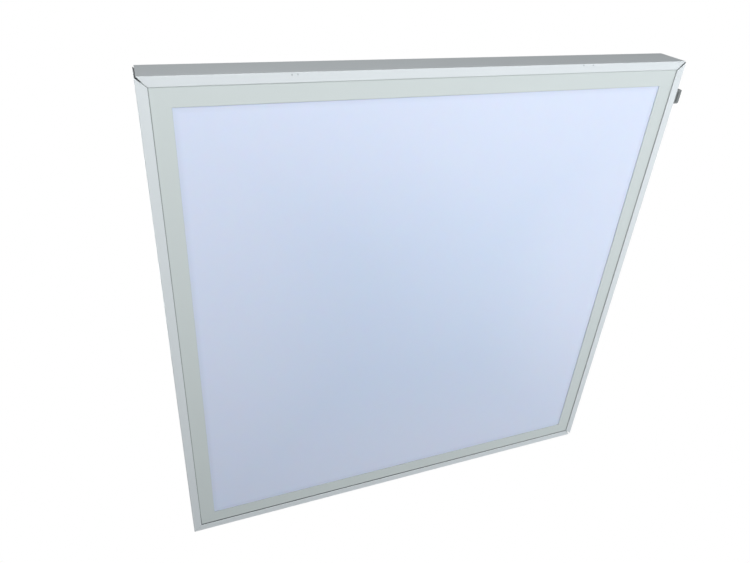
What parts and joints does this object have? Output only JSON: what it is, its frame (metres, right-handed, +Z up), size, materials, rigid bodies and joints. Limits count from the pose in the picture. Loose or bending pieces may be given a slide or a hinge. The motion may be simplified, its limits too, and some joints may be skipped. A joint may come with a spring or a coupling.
{
  "type": "led panel light",
  "caption": "Square edge-lit LED panel light in a white surface-mount box frame, with its driver behind the panel and a side that slides off to let the panel out.",
  "frame": {"origin": "middle of the mounting plane at the back of the surface-mount frame", "axes": "+X to the right seen from the front, +Y back into the wall, +Z up towards the closing side; the glowing face looks along -Y"},
  "size_m": [0.6135, 0.04, 0.605],
  "materials": {
    "frame_paint": "satin",
    "bezel_paint": "satin",
    "back_paint": "satin",
    "opal_plastic": "satin",
    "clear_acrylic": "gloss",
    "white_film": "matte",
    "foam": "matte",
    "led_board": "satin",
    "grey_plastic": "satin",
    "white_plastic": "satin",
    "black_plastic": "satin",
    "green_board": "satin",
    "zinc_steel": "satin",
    "spring_steel": "polished"
  },
  "bodies": {
    "frame": {"frame_left": "frame_paint", "frame_right": "frame_paint", "frame_bottom": "frame_paint", "corner_key_bottom_left": "zinc_steel", "corner_key_bottom_right": "zinc_steel", "grub_screw_bottom_left_a": "zinc_steel", "grub_screw_bottom_left_b": "zinc_steel", "grub_screw_bottom_right_a": "zinc_steel", "grub_screw_bottom_right_b": "zinc_steel"},
    "closing_side": {"frame_closing_side": "frame_paint", "corner_key_top_left": "zinc_steel", "corner_key_top_right": "zinc_steel", "grub_screw_top_left_a": "zinc_steel", "grub_screw_top_left_b": "zinc_steel", "grub_screw_top_right_a": "zinc_steel", "grub_screw_top_right_b": "zinc_steel", "retaining_spring_left": "spring_steel", "retaining_spring_right": "spring_steel"},
    "panel": {"bezel_top": "bezel_paint", "bezel_right": "bezel_paint", "bezel_bottom": "bezel_paint", "bezel_left": "bezel_paint", "back_screw_top_1": "zinc_steel", "back_screw_top_2": "zinc_steel", "back_screw_right_1": "zinc_steel", "back_screw_right_2": "zinc_steel", "back_screw_bottom_1": "zinc_steel", "back_screw_bottom_2": "zinc_steel", "back_screw_left_1": "zinc_steel", "back_screw_left_2": "zinc_steel", "bezel_key_top_right": "zinc_steel", "bezel_key_bottom_right": "zinc_steel", "bezel_key_bottom_left": "zinc_steel", "bezel_key_top_left": "zinc_steel", "diffuser": "opal_plastic", "light_guide_plate": "clear_acrylic", "reflector_sheet": "white_film", "foam_pad": "foam", "driver_pad": "foam", "back_plate": "back_paint", "led_strip_left": "led_board", "led_strip_right": "led_board", "strip_link_wire": "black_plastic", "lead_grommet": "black_plastic", "driver_transformer": "black_plastic", "capacitor_input": "black_plastic", "capacitor_output": "black_plastic", "driver_lead": "black_plastic", "dc_socket": "black_plastic", "dc_plug": "black_plastic", "panel_lead": "black_plastic", "driver_case": "white_plastic", "driver_cover": "white_plastic", "terminal_block": "white_plastic", "driver_board": "green_board", "terminal_cover_pin": "zinc_steel"},
    "side_clamp": {"side_clamp_grip": "grey_plastic", "side_clamp_shoe": "grey_plastic"},
    "terminal_cover": {"terminal_cover": "white_plastic"}
  },
  "joints": [
    {"name": "panel_slide", "type": "slide", "parent": "frame", "child": "panel", "axis": [0, 0, 1], "range_m": [0, 0.5]},
    {"name": "closing_side_slide", "type": "slide", "parent": "frame", "child": "closing_side", "axis": [0, 0, 1], "range_m": [0, 0.57]},
    {"name": "side_clamp_slide", "type": "slide", "parent": "frame", "child": "side_clamp", "axis": [0, 0, -1], "range_m": [0, 0.008]},
    {"name": "terminal_cover_hinge", "type": "hinge", "parent": "panel", "child": "terminal_cover", "pos_m": [-0.104, -0.0064, 0.2248], "axis": [1, 0, 0], "range_deg": [0, 100]}
  ],
  "couplings": [
    {"joint": "closing_side_slide", "follows": "panel_slide", "ratio": 1.12}
  ]
}
